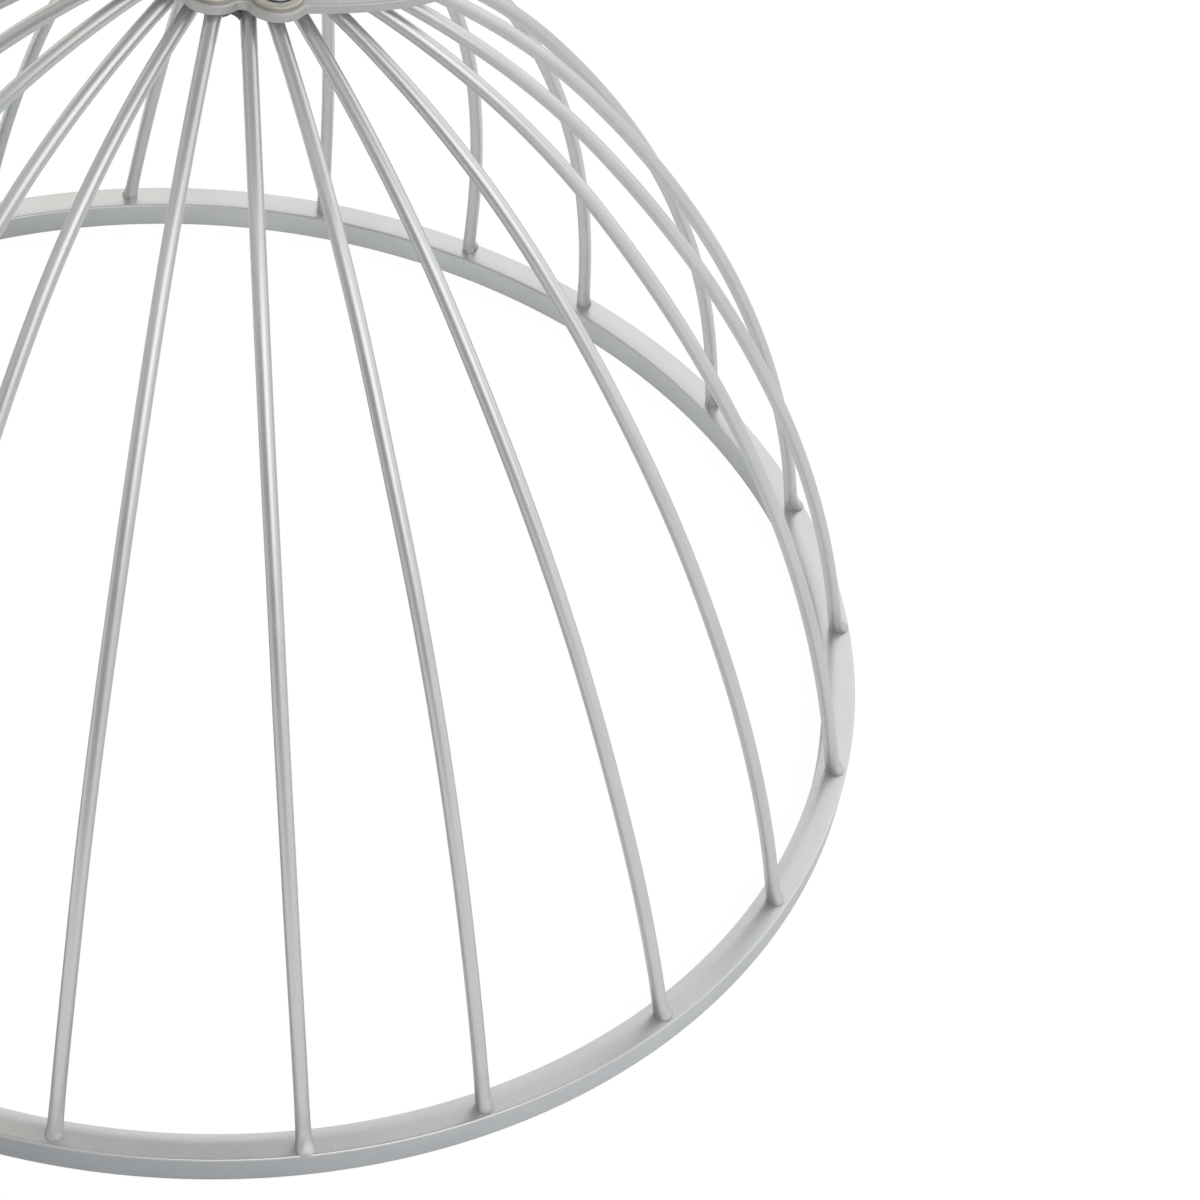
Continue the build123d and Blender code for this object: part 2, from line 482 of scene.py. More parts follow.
def silver_paint():
    """Satin silver paint of the hoop and the collar."""
    colours = settings().paint
    return metal_material(
        "silver_paint_satin", colours.silver_light, colours.silver_dark, metallic=0.85,
        roughness=(0.27, 0.36), clouds=38.0, grain=1400.0, grain_share=0.45, bump=(0.12, 0.0002))


def wire_paint():
    """Silver paint on drawn wire, with fine lines along the wire."""
    colours = settings().paint
    return metal_material(
        "silver_paint_on_wire", colours.silver_light, colours.silver_dark, metallic=0.85,
        roughness=(0.29, 0.37), clouds=30.0, grain=1400.0, grain_share=0.25, bump=(0.025, 0.0002),
        lines=0.4)


def welded_paint():
    """Silver paint on the welds, with soot in their pits and painted shade down one side of each foot."""
    colours = settings().paint
    return metal_material(
        "silver_paint_on_welds", colours.silver_light, colours.silver_dark, metallic=0.85,
        roughness=(0.29, 0.37), clouds=30.0, grain=1400.0, grain_share=0.25, bump=(0.15, 0.0003),
        soot=colours.soot)


def darker(colour, share):
    return [channel * share for channel in colour]


def hub_paint():
    """Paint of the hub plate: rougher than the silver paint, and darkened as painted shade."""
    light = settings().paint.hub
    return metal_material(
        # The darker tone of the hub plate is painted shade
        "silver_paint_rough_and_shaded", light, darker(light, 0.85), metallic=0.8, roughness=(0.42, 0.54),
        clouds=120.0, grain=1400.0, grain_share=0.5, bump=(0.2, 0.0003))


def yellow_plating():
    """Plating of the ring washers."""
    light = settings().paint.plating
    return metal_material(
        "yellow_plating", light, darker(light, 0.82), metallic=0.9, roughness=(0.30, 0.42),
        clouds=240.0, grain=2200.0, grain_share=0.4, bump=(0.1, 0.0001))


def screw_steel():
    """Plain steel of the screws."""
    light = settings().paint.steel
    return metal_material(
        "screw_steel_plain", light, darker(light, 0.75), metallic=0.95, roughness=(0.26, 0.38),
        clouds=300.0, grain=2600.0, grain_share=0.4, bump=(0.1, 0.0001))


def give(piece, material):
    piece.data.materials.clear()
    piece.data.materials.append(material)


# Hoop: sides round the axis, steps of its corners and its camber, and how close to their ends
# the long runs of its section get a point of their own
HOOP_SIDES = 480
CORNER_STEPS = 8
CAMBER_STEPS = 12
BRACE = 0.0003
LONG_RUN = 4 * BRACE


def corner(middle, radius, first, last):
    """Points of a rounded corner, in (radius, height), between two angles in degrees."""
    turns = [math.radians(first + (last - first) * step / CORNER_STEPS) for step in range(CORNER_STEPS + 1)]
    return [middle + radius * Vector((math.cos(turn), math.sin(turn))) for turn in turns]


def hoop_section(sizes):
    """Outline of the bar in (radius, height): round corners, and a top face that falls away inwards."""
    outer, top = HOOP_HIGH.x, HOOP_HIGH.z
    inner = outer - HOOP_BAR
    edge, soft, slope = sizes.outer_edge, sizes.inner_edge, sizes.fall
    start, end = inner + sizes.camber, inner + soft * (1 - math.sin(slope))
    drop = math.tan(slope) * (start - end) / 2
    outline = corner(Vector((outer - edge, edge)), edge, -90, 0)
    outline += corner(Vector((outer - edge, top - edge)), edge, 0, 90)
    for step in range(CAMBER_STEPS):
        share = step / CAMBER_STEPS
        outline.append(Vector((start + (end - start) * step / CAMBER_STEPS, top - drop * share ** 2)))
    outline += corner(Vector((inner + soft, top - drop - soft * math.cos(slope))), soft,
                      90 + math.degrees(slope), 180)
    outline += corner(Vector((inner + soft, soft)), soft, 180, 270)
    return braced(outline)


def braced(outline):
    """The outline with a point set close to both ends of each long run, so that flat faces shade flat."""
    points = []
    for here, there in zip(outline, outline[1:] + outline[:1]):
        points.append(here)
        run = there - here
        if run.length > LONG_RUN:
            points += [here + run.normalized() * BRACE, there - run.normalized() * BRACE]
    return points


def turned_mesh(name, outline, sides):
    """A closed outline in (radius, height), turned round the z axis."""
    verts, faces = [], []
    for n in range(sides):
        a = math.tau * n / sides
        verts += [(point.x * math.cos(a), point.x * math.sin(a), point.y) for point in outline]
    count = len(outline)
    for n in range(sides):
        here, there = n * count, (n + 1) % sides * count
        for k in range(count):
            faces.append((here + k, there + k, there + (k + 1) % count, here + (k + 1) % count))
    mesh = bpy.data.meshes.new(name)
    mesh.from_pydata(verts, [], faces)
    mesh.shade_smooth()
    return mesh


class CAGE_OT_hoop(bpy.types.Operator):
    """Make the bent bar hoop in place of the plain one"""
    bl_idname = "cage.hoop"
    bl_label = "Hoop"

    def execute(self, context):
        mesh = turned_mesh("hoop_bar", hoop_section(settings().hoop), HOOP_SIDES)
        hoop = keep_piece("hoop_bar", mesh)
        give(hoop, silver_paint())
        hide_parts("base_hoop")
        return {"FINISHED"}


# Ribs: points of their two arcs, rings along a wire and sides round it
SIDE_POINTS = 40
CROWN_POINTS = 20
WIRE_RINGS = 130
WIRE_SIDES = 24

# How finely a wire wavers, how much more in its middle than at its ends, and the step between ribs' seeds
WAVER_SCALE = 9.0
WAVER_SWELL = 8.0
SEED_STEP = 3.1


def tangent_arc(start, end, tangent, count):
    """Points of the arc from start to end that leaves start along tangent, and its last direction."""
    chord = end - start
    half = tangent.angle_signed(chord)
    side = Vector((tangent.y, -tangent.x))
    radius = chord.length / (2 * math.sin(half))
    points = []
    for step in range(1, count + 1):
        swept = 2 * half * step / count
        points.append(start + radius * (math.sin(swept) * tangent + (1 - math.cos(swept)) * side))
    return points, math.cos(2 * half) * tangent + math.sin(2 * half) * side


def rib_top(sizes):
    """Where a rib's bend ends under the hub plate, inwards and up from its foot."""
    return Vector((FOOT_RADIUS - sizes.top_radius, HUB_LOW.z - HOOP_HIGH.z - sizes.wire / 2))


def rib_bend(sizes):
    """The flat bend of a rib as points inwards and up from its foot, run on past both ends."""
    foot = Vector((0.0, 0.0))
    shoulder = Vector((sizes.reach, sizes.rise))
    start = Vector((math.sin(sizes.lean), math.cos(sizes.lean)))
    side, leaning = tangent_arc(foot, shoulder, start, SIDE_POINTS)
    crown, ending = tangent_arc(shoulder, rib_top(sizes), leaning, CROWN_POINTS)
    return [-start * sizes.wire / 2, foot] + side + crown + [crown[-1] + ending * sizes.tail]


def rib_matrix(sizes, angle, lay):
    """Place of a rib's plane: x inwards, y up the rib, z across it, origin at the foot."""
    top = rib_top(sizes)
    turned = Matrix.Rotation(angle - math.asin((top.y * math.sin(lay) - sizes.sidestep) / top.x), 3, "Z")
    inward = turned @ Vector((-1, 0, 0))
    across = Matrix.Rotation(-lay, 3, inward) @ (turned @ Vector((0, 1, 0)))
    matrix = Matrix((inward, across.cross(inward), across)).transposed().to_4x4()
    matrix.translation = (FOOT_RADIUS * math.cos(angle), FOOT_RADIUS * math.sin(angle), HOOP_HIGH.z)
    return matrix


def rib_places(sizes):
    """Places of the ribs' planes, in order round the hoop."""
    places = []
    count = len(RIB_NODES)
    for number in range(count):
        wander, lay = RIB_WANDER[number % len(RIB_WANDER)], RIB_LAY[number % len(RIB_LAY)]
        angle = sizes.first + math.tau * number / count + math.radians(wander)
        places.append(rib_matrix(sizes, angle, math.radians(lay)))
    return places


def laid(points, matrix):
    """Points of the flat bend, put in a rib's place."""
    return [matrix @ point.to_3d() for point in points]


def clamp_height(sheet, geometry, low, high):
    """Flattens what reaches past two heights."""
    x, y, z = sheet.split(sheet.place())
    return sheet.put_at(geometry, sheet.joined(
        x, y, sheet.math("MINIMUM", sheet.math("MAXIMUM", z, low), high)))


def rib_tree():
    """Round wire along a line, a little uneven and flat where it meets its seats."""
    tree, sheet, source = new_tree("bent_wire", ("Wire radius", "Waver", "Seed", "Floor", "Ceiling"))
    even = sheet.resampled(source["Geometry"], WIRE_RINGS)
    noise = sheet.seeded_noise(sheet.place(), source["Seed"], WAVER_SCALE, detail=1.0)["Color"]
    centred = sheet.vector("SUBTRACT", noise, (0.5, 0.5, 0.5))
    along = sheet.add("GeometryNodeSplineParameter").outputs
    share = along["Factor"]
    middle = sheet.math("MULTIPLY", share, sheet.math("SUBTRACT", 1.0, share))
    swell = sheet.math("MULTIPLY", middle, WAVER_SWELL)
    wavered = sheet.shifted(even, sheet.scaled(centred, sheet.math("MULTIPLY", swell, source["Waver"])))
    marked = sheet.mark(wavered, "along", sheet.math("ADD", along["Length"], source["Seed"]))
    ring = sheet.mark(sheet.ring(WIRE_SIDES), "round", sheet.place(), "FLOAT_VECTOR")
    wire = sheet.tube(marked, ring, source["Wire radius"], True)
    flat = clamp_height(sheet, wire, source["Floor"], source["Ceiling"])
    close_tree(sheet, flat, source["Material"])
    return tree


def line_data(name, *paths):
    """A curve of straight runs through the points of each path."""
    data = bpy.data.curves.new(name, "CURVE")
    data.dimensions = "3D"
    for path in paths:
        spline = data.splines.new("POLY")
        spline.points.add(len(path) - 1)
        for point, place in zip(spline.points, path):
            point.co = (*place, 1.0)
    return data


class CAGE_OT_ribs(bpy.types.Operator):
    """Make the bent wire ribs in place of the plain ones"""
    bl_idname = "cage.ribs"
    bl_label = "Ribs"

    def execute(self, context):
        sizes = settings().ribs
        tree, bend = rib_tree(), rib_bend(sizes)
        same = {
            "Wire radius": sizes.wire / 2, "Waver": sizes.waver, "Floor": HOOP_HIGH.z - sizes.sunk,
            "Ceiling": HUB_LOW.z + sizes.sunk, "Material": wire_paint()}
        for number, (node, place) in enumerate(zip(RIB_NODES, rib_places(sizes))):
            wire = bake_tree(node.replace("rib", "rib_wire"), line_data(node, laid(bend, place)), tree,
                             same | {"Seed": number * SEED_STEP})
            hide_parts(node)
        return {"FINISHED"}


# Welds: rings along a fillet or a seam, and sides round it
WELD_RINGS = 36
WELD_SIDES = 40
SEAM_RINGS = 260
SEAM_SIDES = 14

# How many points of a rib's bend the welds at its two ends follow
WELD_POINTS = 4

# How fast a fillet thins out from its seat, and how fast its toe and the painted shade beside it draw back
FILLET_FALL = 3.4
TOE_FALL = 1.4
SIDE_SHADE_FALL = 0.25

# Scales of the noises that make the lumps, the pits and the differences between the toes
LUMP_SCALE = 260.0
PIT_SCALE = 420.0
TOE_SCALE = 14.0
TOE_SEED = 2.0

# The stretch of its noise from the shortest toe to the longest, and the shortest as a share of the longest
TOE_STRETCH = (0.38, 0.62)
TOE_LEAST = 0.25

# The stretch of its noise on which a pit fills with soot, and how far a side faces away where the painted
# shade stays
PIT_STRETCH = (0.45, 0.62)
SIDE_SHADE_STRETCH = (0.6, 0.95)

# Past the hoop's edge, how far a weld is drawn back in and how far it hangs down for each length it reaches
FOLD_IN = 1.3
FOLD_DOWN = 2.0

# Points round the collar's seam, how many times more even it is than the welds, and how much of its lumps
# a seam's radius takes
COLLAR_POINTS = 120
COLLAR_EVENNESS = 3
SEAM_LUMPS = 2.0

# How far below and above the end of the bend a web starts and arches, and how full its arch is
WEB_REACH = 0.25
WEB_FULLNESS = 0.6


def lumps(sheet, place, size):
    """Lumps of a weld at a place, up and down by half of a size."""
    noise = sheet.noise(place, LUMP_SCALE, detail=2.0)
    return sheet.math("MULTIPLY", sheet.math("SUBTRACT", noise, 0.5), size)


def weld_tree():
    """A lumpy fillet round wires where they meet a level seat, smeared outwards and folded over an edge."""
    tree, sheet, source = new_tree("weld_fillets", (
        "Wire radius", "Fillet", "Height", "Smear", "Lumps", "Seat", "Floor", "Ceiling", "Edge radius",
        "Lip", "Soot", "Side shade"))
    even = sheet.resampled(source["Geometry"], WELD_RINGS)
    away = sheet.math("ABSOLUTE", sheet.math("SUBTRACT", sheet.split(sheet.place())[2], source["Seat"]))
    swept = sheet.math("POWER", sheet.ranged(away, 0.0, source["Height"], 1.0, 0.0), FILLET_FALL)
    marked = sheet.mark(even, "spread", swept)
    radius = sheet.math("ADD", source["Wire radius"], sheet.math("MULTIPLY", swept, source["Fillet"]))
    cone = sheet.tube(marked, sheet.ring(WELD_SIDES), radius, True)

    place = sheet.place()
    normal = sheet.add("GeometryNodeInputNormal").outputs[0]
    spread = sheet.add("GeometryNodeInputNamedAttribute", {"Name": "spread"}, data_type="FLOAT").outputs[0]
    lump = sheet.math("MULTIPLY", lumps(sheet, place, source["Lumps"]), spread)
    out = sheet.vector("NORMALIZE", sheet.vector("MULTIPLY", place, (1.0, 1.0, 0.0)))
    chance = sheet.seeded_noise(place, TOE_SEED, TOE_SCALE, detail=0.0)["Fac"]
    toe = sheet.math("MULTIPLY", sheet.ranged(chance, *TOE_STRETCH, TOE_LEAST, 1.0), source["Smear"])
    run = sheet.math("MULTIPLY", sheet.math("POWER", spread, TOE_FALL), toe)
    moved = sheet.shifted(cone, sheet.vector("ADD", sheet.scaled(normal, lump), sheet.scaled(out, run)))
    seated = clamp_height(sheet, moved, source["Floor"], source["Ceiling"])
    folded = fold_over(sheet, seated, source["Edge radius"], source["Lip"])

    speck = sheet.noise(place, PIT_SCALE, detail=1.0)
    pit = sheet.ranged(speck, *PIT_STRETCH, 0.0, source["Soot"], "SMOOTHSTEP")
    # Painted shade: the side of each foot's weld that faces one way round the hoop takes the soot colour,
    # as the shade on that side
    facing = sheet.vector("DOT_PRODUCT", normal, sheet.vector("CROSS_PRODUCT", out, UP))
    side_shade = sheet.ranged(facing, *SIDE_SHADE_STRETCH, 0.0, source["Side shade"], "SMOOTHSTEP")
    pits_and_side_shade = sheet.math("MAXIMUM", sheet.math("MULTIPLY", pit, spread),
                       sheet.math("MULTIPLY", side_shade, sheet.math("POWER", spread, SIDE_SHADE_FALL)))
    close_tree(sheet, sheet.mark(folded, "soot", pits_and_side_shade), source["Material"])
    return tree


def fold_over(sheet, geometry, edge, lip):
    """Folds what reaches past a round edge down over it, in a lip that thins out."""
    x, y, z = sheet.split(sheet.place())
    squares = sheet.math("ADD", sheet.math("MULTIPLY", x, x), sheet.math("MULTIPLY", y, y))
    reach = sheet.math("SQRT", squares)
    excess = sheet.math("MAXIMUM", sheet.math("SUBTRACT", reach, sheet.math("ADD", edge, lip)), 0.0)
    kept = sheet.math("SUBTRACT", reach, sheet.math("MULTIPLY", excess, FOLD_IN))
    share = sheet.math("DIVIDE", kept, reach)
    folded = sheet.joined(
        sheet.math("MULTIPLY", x, share), sheet.math("MULTIPLY", y, share),
        sheet.math("SUBTRACT", z, sheet.math("MULTIPLY", excess, FOLD_DOWN)))
    return sheet.put_at(geometry, folded)


def seam_tree():
    """An uneven bead that follows a line."""
    tree, sheet, source = new_tree("weld_seam", ("Radius", "Lumps", "Soot"))
    even = sheet.resampled(source["Geometry"], SEAM_RINGS)
    lump = lumps(sheet, sheet.place(), source["Lumps"])
    radius = sheet.math("ADD", source["Radius"], sheet.math("MULTIPLY", lump, SEAM_LUMPS))
    bead = sheet.tube(even, sheet.ring(SEAM_SIDES), radius, False)
    sooty = sheet.mark(sheet.mark(bead, "spread", 1.0), "soot", source["Soot"])
    close_tree(sheet, sooty, source["Material"])
    return tree


def web_arch(bend, first, second):
    """An arch from one rib to the next, high in the middle, close under the hub plate."""
    low, high = bend[-2].lerp(bend[-3], WEB_REACH), bend[-2].lerp(bend[-3], -WEB_REACH)
    start, end = first @ low.to_3d(), second @ low.to_3d()
    middle = (first @ high.to_3d()).lerp(second @ high.to_3d(), 0.5)
    return [start, start.lerp(middle, WEB_FULLNESS), middle, end.lerp(middle, WEB_FULLNESS), end]


def circle(radius, height, count):
    """Points round the axis."""
    turns = [math.tau * n / count for n in range(count)]
    return [Vector((radius * math.cos(turn), radius * math.sin(turn), height)) for turn in turns]


class CAGE_OT_welds(bpy.types.Operator):
    """Make the welds at both ends of the ribs and round the collar's foot"""
    bl_idname = "cage.welds"
    bl_label = "Welds"

    def execute(self, context):
        ribs, welds = settings().ribs, settings().welds
        bend, places = rib_bend(ribs), rib_places(ribs)
        fillets, seams = weld_tree(), seam_tree()
        same = {
            "Wire radius": ribs.wire / 2 + welds.skin, "Lumps": welds.lumps, "Lip": welds.lip,
            "Edge radius": HOOP_HIGH.x, "Material": welded_paint()}
        feet = [laid(bend[:WELD_POINTS], place) for place in places]
        bake_tree("foot_welds", line_data("foot_welds", *feet), fillets, same | {
            "Fillet": welds.foot_fillet, "Height": welds.foot_height, "Smear": welds.foot_smear,
            "Seat": HOOP_HIGH.z, "Floor": HOOP_HIGH.z - ribs.sunk, "Ceiling": HUB_LOW.z,
            "Soot": welds.foot_soot, "Side shade": welds.foot_side_shade})
        crowns = [laid(bend[-WELD_POINTS:], place) for place in places]
        bake_tree("crown_welds", line_data("crown_welds", *crowns), fillets, same | {
            "Fillet": welds.crown_fillet, "Height": welds.crown_height, "Smear": 0.0,
            "Seat": HUB_LOW.z, "Floor": HOOP_HIGH.z, "Ceiling": HUB_LOW.z + ribs.sunk,
            "Soot": welds.crown_soot, "Side shade": 0.0})
        seam = line_data("collar_seam", circle(COLLAR_RADIUS, HUB_HIGH.z, COLLAR_POINTS))
        seam.splines[0].use_cyclic_u = True
        bake_tree("collar_seam", seam, seams, {
            "Radius": welds.collar_bead, "Lumps": welds.lumps / COLLAR_EVENNESS, "Soot": 0.0,
            "Material": welded_paint()})
        # A web bridges the last rib of each half and the first rib of the other
        half = len(RIB_LAY)
        webs = [web_arch(bend, places[n - 1], places[n % len(places)]) for n in (half, 2 * half)]
        bake_tree("rib_webs", line_data("rib_webs", *webs), seams, {
            "Radius": welds.web, "Lumps": welds.lumps, "Soot": welds.web_soot, "Material": welded_paint()})
        return {"FINISHED"}


# Screws: sides round them, steps of a head's round and of a thread
SCREW_SIDES = 48
HEAD_STEPS = 8
THREAD_STEPS = 40

# Flat of a head as a share of its radius, its upright wall as a share of its height,
# the thread's depth as a share of its pitch, and the slot's length as a share of the head's radius
HEAD_FLAT = 0.72
HEAD_WALL = 0.45
THREAD_DEPTH = 0.55
SLOT_LENGTH = 2.4

# How far the first slot is turned, and how much further each next one, in degrees
SLOT_TURN = 25
SLOT_TURN_STEP = 70


def thread_radius(sizes, depth, angle):
    """Radius of the shank at a depth below the head and an angle round it."""
    phase = (depth / sizes.pitch - angle / math.tau) % 1.0
    ridge = 1.0 - abs(2.0 * phase - 1.0)
    return sizes.shank - THREAD_DEPTH * sizes.pitch * (1.0 - ridge)


def screw_mesh(sizes):
    """One screw along z, its head above the origin and its threaded shank below."""
    length = HUB_HIGH.z - HUB_LOW.z
    turns = [math.tau * n / SCREW_SIDES for n in range(SCREW_SIDES)]
    flat = sizes.head * HEAD_FLAT
    profile = []
    for step in range(HEAD_STEPS + 1):
        bent = math.pi / 2 * step / HEAD_STEPS
        profile.append((flat + (sizes.head - flat) * math.sin(bent),
                        sizes.head_height * (HEAD_WALL + (1 - HEAD_WALL) * math.cos(bent))))
    profile += [(sizes.head, 0.0), (sizes.shank, 0.0)]
    rings = [[(r, z)] * SCREW_SIDES for r, z in profile]
    for step in range(1, THREAD_STEPS + 1):
        depth = length * step / THREAD_STEPS
        rings.append([(thread_radius(sizes, depth, turn), -depth) for turn in turns])
    verts = [(0.0, 0.0, sizes.head_height)]
    for ring in rings:
        verts += [(r * math.cos(turn), r * math.sin(turn), z) for turn, (r, z) in zip(turns, ring)]
    verts.append((0.0, 0.0, -length))
    beside = [(n, (n + 1) % SCREW_SIDES) for n in range(SCREW_SIDES)]
    faces = [(0, 1 + n, 1 + m) for n, m in beside]
    for k in range(len(rings) - 1):
        low, high = 1 + k * SCREW_SIDES, 1 + (k + 1) * SCREW_SIDES
        faces += [(low + n, high + n, high + m, low + m) for n, m in beside]
    last, tip = 1 + (len(rings) - 1) * SCREW_SIDES, len(verts) - 1
    faces += [(last + n, tip, last + m) for n, m in beside]
    mesh = bpy.data.meshes.new("screw")
    mesh.from_pydata(verts, [], faces)
    mesh.validate()
    return mesh


def screw_tree():
    """Cuts the driver slot, sets a screw on its ear and gives it its material."""
    tree, sheet, source = new_tree("slotted_screw", vectors=("Slot", "Slot place", "Turn", "Place"))
    bar = sheet.add("GeometryNodeMeshCube", {"Size": source["Slot"]})
    moved = sheet.add("GeometryNodeTransform", {
        "Geometry": bar.outputs[0], "Translation": source["Slot place"]})
    cut = sheet.add("GeometryNodeMeshBoolean", {
        "Mesh 1": source["Geometry"], "Mesh 2": moved.outputs[0]}, operation="DIFFERENCE", solver="EXACT")
    turned = sheet.add("GeometryNodeTransform", {
        "Geometry": cut.outputs[0], "Rotation": source["Turn"], "Translation": source["Place"]})
    close_tree(sheet, turned.outputs[0], source["Material"])
    return tree


class CAGE_OT_screws(bpy.types.Operator):
    """Make the slotted screws in place of the plain ones"""
    bl_idname = "cage.screws"
    bl_label = "Screws"

    def execute(self, context):
        sizes = settings().screws
        tree = screw_tree()
        width, depth = sizes.slot
        for number, node in enumerate(SCREW_NODES):
            low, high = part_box(node)
            turn = math.radians(SLOT_TURN + SLOT_TURN_STEP * number)
            screw = bake_tree(node.replace("screw", "slotted_screw"), screw_mesh(sizes), tree, {
                "Slot": (SLOT_LENGTH * sizes.head, width, 2 * depth),
                "Slot place": (0, 0, sizes.head_height), "Turn": (0, 0, turn),
                "Place": ((low.x + high.x) / 2, (low.y + high.y) / 2, HUB_HIGH.z),
                "Material": screw_steel()})
            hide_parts(node)
        return {"FINISHED"}


class CAGE_OT_finishes(bpy.types.Operator):
    """Give the hub plate, collar and washers their finishes"""
    bl_idname = "cage.finishes"
    bl_label = "Finishes"

    def execute(self, context):
        give(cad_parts["hub_plate"], hub_paint())
        give(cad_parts["collar"], silver_paint())
        for node in WASHER_NODES:
            give(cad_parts[node], yellow_plating())
        return {"FINISHED"}


# Studio: three grounds lie just under the hoop, one above the other. The pale floor and the sheet of
# painted shade light the object and show in its reflections, and the white floor is all that the camera
# sees.
FLOOR_SIZE = 30.0
FLOOR_HEIGHT = -0.0004
SHADE_SHEET_HEIGHT = -0.0002
WHITE_HEIGHT = -0.0001
SHADE_SHEET_SIDES = 128

# How much of the pale floor turns white in reflections, how much of the white floor does for the camera,
# and the strength of that white
FLOOR_SHINE = 0.4
WHITE_SHARE = 0.92
GROUND_WHITE = 1.03

# The way across the sheet of painted shade on which its tone changes, and the stretch of it that holds the
# change
SHADE_SHEET_WAY = (1.0, 0.35, 0.0)
SHADE_SHEET_STRETCH = (-0.15, 0.06)

# Stretches of the directions, from front to back and from left to right, on which the backdrop changes
BACKDROP_DEPTH = (-0.6, 0.2)
BACKDROP_WIDTH = (-0.06, 0.08)

# Azimuths of the two cards, in degrees, and the height that the soft box is aimed at
LEFT_CARD = -92
FRONT_CARD = -26
KEY_AIM = 0.15


def make_world(studio):
    """Even light on the object, a backdrop for its reflections, and plain white for the camera."""
    world = bpy.data.worlds.new("studio")
    world.use_nodes = True
    world.node_tree.nodes.clear()
    sheet = NodeSheet(world.node_tree)
    path = sheet.add("ShaderNodeLightPath").outputs
    mirrored = sheet.math("MAXIMUM", path["Is Glossy Ray"], path["Is Transmission Ray"])
    x, y, _ = sheet.split(sheet.add("ShaderNodeTexCoord").outputs["Generated"])
    strength = sheet.ranged(y, *BACKDROP_DEPTH, *studio.backdrop)
    tint = sheet.colour(sheet.ranged(x, *BACKDROP_WIDTH), studio.backdrop_left, studio.backdrop_right)
    room = sheet.add("ShaderNodeBackground", {"Color": WHITE, "Strength": studio.room})
    backdrop = sheet.add("ShaderNodeBackground", {"Color": tint, "Strength": strength})
    plain = sheet.add("ShaderNodeBackground", {"Color": WHITE, "Strength": 1.0})
    mixed = sheet.add("ShaderNodeMixShader", {0: mirrored, 1: room.outputs[0], 2: backdrop.outputs[0]})
    shown = sheet.add("ShaderNodeMixShader", {
        0: path["Is Camera Ray"], 1: mixed.outputs[0], 2: plain.outputs[0]})
    sheet.add("ShaderNodeOutputWorld", {"Surface": shown.outputs[0]})
    bpy.context.scene.world = world


def ground_material(name, left, right, camera_white, glossy_white):
    """Matt ground that viewers see as white in the given shares; its tone runs from left to right."""
    material, sheet = bare_material(name)
    path = sheet.add("ShaderNodeLightPath").outputs
    seen = sheet.math("MULTIPLY", path["Is Camera Ray"], camera_white)
    shine = sheet.math("MULTIPLY", path["Is Glossy Ray"], glossy_white)
    share = sheet.math("MAXIMUM", seen, sheet.math("MAXIMUM", shine, path["Is Transmission Ray"]))
    across = sheet.vector("DOT_PRODUCT", sheet.add("ShaderNodeTexCoord").outputs["Object"], SHADE_SHEET_WAY)
    tone = sheet.colour(sheet.ranged(across, *SHADE_SHEET_STRETCH), left, right)
    matt = sheet.add("ShaderNodeBsdfDiffuse", {"Color": tone})
    white = sheet.add("ShaderNodeEmission", {"Color": WHITE, "Strength": GROUND_WHITE})
    mixed = sheet.add("ShaderNodeMixShader", {0: share, 1: matt.outputs[0], 2: white.outputs[0]})
    sheet.add("ShaderNodeOutputMaterial", {"Surface": mixed.outputs[0]})
    return material


def glowing_material(name, colour):
    """An even tone for a card that only shows in reflections."""
    material, sheet = bare_material(name)
    tone = sheet.add("ShaderNodeEmission", {"Color": (*colour, 1.0), "Strength": 1.0})
    sheet.add("ShaderNodeOutputMaterial", {"Surface": tone.outputs[0]})
    return material


def stage_face(name, corners, material, hidden_from):
    """One flat face of the studio, which is no part of the object, hidden from the given kinds of rays."""
    mesh = bpy.data.meshes.new(name)
    mesh.from_pydata(corners, [], [tuple(range(len(corners)))])
    mesh.materials.append(material)
    face = new_object(name, mesh)
    for ray in hidden_from:
        setattr(face, "visible_" + ray, False)
    return face


def card_corners(width, height, place, facing):
    """Corners of a card at a place, facing along a direction."""
    turned = facing.to_track_quat("Z", "Y").to_matrix()
    w, h = width / 2, height / 2
    return [place + turned @ Vector(c) for c in ((-w, -h, 0), (w, -h, 0), (w, h, 0), (-w, h, 0))]


def reflected_card(name, width, height, place, facing, colour):
    """A card that is seen in reflections alone."""
    return stage_face(name, card_corners(width, height, place, facing), glowing_material(name, colour),
                      hidden_from=("camera", "shadow", "diffuse"))


def make_ground(studio):
    """A pale floor with a sheet of painted shade on it, and a white floor that the camera sees in their
    place.
    """
    pale = studio.floor_tone
    stage_face("floor", card_corners(FLOOR_SIZE, FLOOR_SIZE, UP * FLOOR_HEIGHT, UP),
               ground_material("pale_floor", pale, pale, 1.0, FLOOR_SHINE), hidden_from=("camera",))
    # The sheet of painted shade darkens the hoop's reflections as its contact shadow would
    stage_face("mat", circle(studio.shade_sheet_radius, SHADE_SHEET_HEIGHT, SHADE_SHEET_SIDES),
               ground_material("shade_sheet_tones", studio.shade_sheet_left, studio.shade_sheet_right, 1.0, 0.0),
               hidden_from=("camera",))
    stage_face("white_floor", card_corners(FLOOR_SIZE, FLOOR_SIZE, UP * WHITE_HEIGHT, UP),
               ground_material("white_floor", pale, pale, WHITE_SHARE, 0.0),
               hidden_from=("diffuse", "glossy", "transmission", "shadow"))


def studio_place(azimuth, elevation=0, distance=1.0, lift=0.0):
    """A place round the object, lifted: azimuth from the camera's side towards +X, angles in degrees."""
    a, e = math.radians(azimuth), math.radians(elevation)
    way = Vector((math.sin(a) * math.cos(e), -math.cos(a) * math.cos(e), math.sin(e)))
    return way * distance + UP * lift


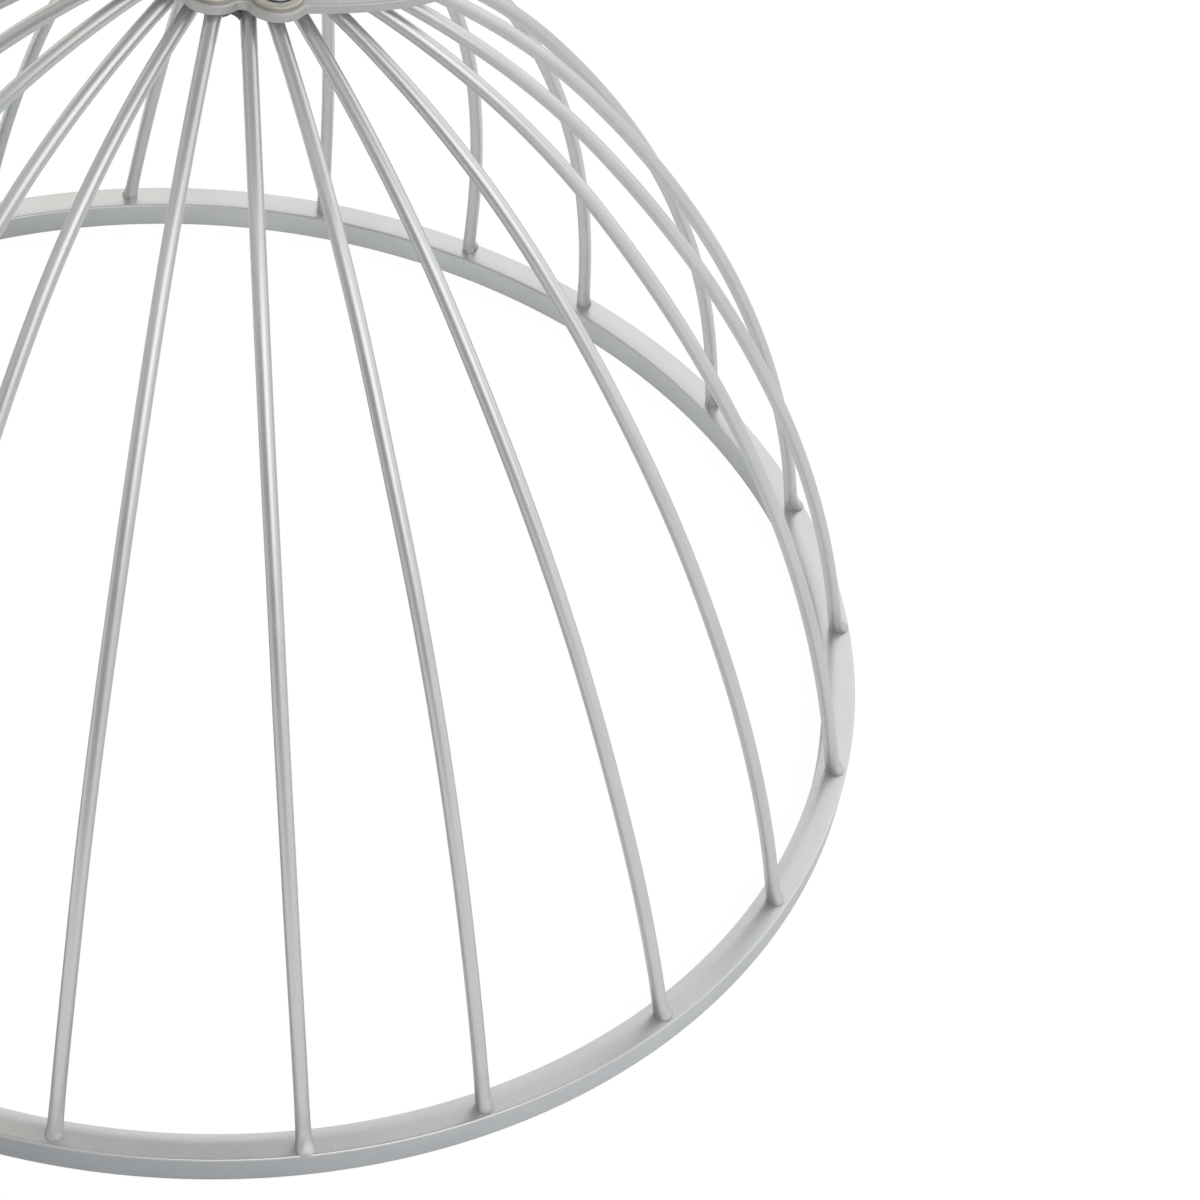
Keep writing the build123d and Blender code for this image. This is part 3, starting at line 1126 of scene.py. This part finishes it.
def soft_box(name, width, height, place, aim, roll, brightness):
    """An area light with the given brightness of its face, turned by a roll in degrees."""
    lamp = bpy.data.lights.new(name, "AREA")
    lamp.shape = "RECTANGLE"
    lamp.size = width
    lamp.size_y = height
    lamp.energy = brightness * math.pi * width * height
    box = new_object(name, lamp)
    box.location = place
    upright = (place - aim).to_track_quat("Z", "Y")
    box.rotation_euler = (upright @ Quaternion((0, 0, 1), math.radians(roll))).to_euler()


def make_camera(studio):
    """The camera in the photograph's place."""
    data = bpy.data.cameras.new("portrait")
    data.lens = studio.focal
    data.sensor_width = 36.0
    data.clip_start = 0.05
    right, forward = Vector(studio.right).normalized(), Vector(studio.forward).normalized()
    up = right.cross(forward)
    matrix = Matrix((forward.cross(up), up, -forward)).transposed().to_4x4()
    matrix.translation = Vector(studio.eye)
    camera = new_object("portrait", data)
    camera.matrix_world = matrix
    bpy.context.scene.camera = camera


class CAGE_OT_studio(bpy.types.Operator):
    """Set the floor, cards, lights and camera"""
    bl_idname = "cage.studio"
    bl_label = "Studio"

    def execute(self, context):
        studio = settings().studio
        context.scene.view_settings.view_transform = "Standard"
        make_world(studio)
        make_ground(studio)
        soft_box("key", width=1.75, height=1.2, place=studio_place(azimuth=28, elevation=43, distance=2.0),
                 aim=UP * KEY_AIM, roll=-14, brightness=studio.key)
        reflected_card("left_card", width=2.2, height=1.9,
                       place=studio_place(LEFT_CARD, distance=1.8, lift=0.9),
                       facing=-studio_place(LEFT_CARD), colour=studio.left_tone)
        reflected_card("front_card", width=1.7, height=1.7,
                       place=studio_place(FRONT_CARD, distance=1.37, lift=0.8),
                       facing=studio_place(FRONT_CARD, distance=-1.6, lift=1.05), colour=studio.front_tone)
        ceiling = reflected_card("ceiling", width=2.0, height=1.4, place=Vector((-0.25, 0, 1.5)),
                                 facing=-UP, colour=studio.ceiling_tone)
        ceiling.rotation_euler.z = math.radians(-12)
        make_camera(studio)
        return {"FINISHED"}


class CAGE_PT_panel(bpy.types.Panel):
    """Lists the steps that dress the shade"""
    bl_idname = "CAGE_PT_panel"
    bl_label = "Cage shade"
    bl_space_type = "VIEW_3D"
    bl_region_type = "UI"
    bl_category = "Cage shade"

    def draw(self, context):
        for step in STEPS:
            self.layout.operator(step.bl_idname)


class CageShade(bpy.types.PropertyGroup):
    """All settings of the shade."""
    hoop: bpy.props.PointerProperty(type=HoopSizes, name="Hoop", description="Section of the bent bar")
    ribs: bpy.props.PointerProperty(type=RibSizes, name="Ribs", description="Bend and spacing of the ribs")
    welds: bpy.props.PointerProperty(type=WeldSizes, name="Welds", description="Weld beads and their soot")
    screws: bpy.props.PointerProperty(type=ScrewSizes, name="Screws", description="Pan-head screws")
    paint: bpy.props.PointerProperty(type=PaintColours, name="Paint", description="Colours of the finishes")
    studio: bpy.props.PointerProperty(type=StudioSizes, name="Studio", description="Camera and lights")


STEPS = (CAGE_OT_hoop, CAGE_OT_ribs, CAGE_OT_welds, CAGE_OT_screws, CAGE_OT_finishes, CAGE_OT_studio)
GROUPS = (HoopSizes, RibSizes, WeldSizes, ScrewSizes, PaintColours, StudioSizes, CageShade)
CLASSES = (*GROUPS, *STEPS, CAGE_PT_panel)


def register():
    for item in CLASSES:
        bpy.utils.register_class(item)
    bpy.types.Scene.cage_shade = bpy.props.PointerProperty(type=CageShade)


def unregister():
    del bpy.types.Scene.cage_shade
    for item in reversed(CLASSES):
        bpy.utils.unregister_class(item)


def main():
    register()
    bpy.ops.cage.hoop()
    bpy.ops.cage.ribs()
    bpy.ops.cage.welds()
    bpy.ops.cage.screws()
    bpy.ops.cage.finishes()
    bpy.ops.cage.studio()


if __name__ == "__main__":
    main()
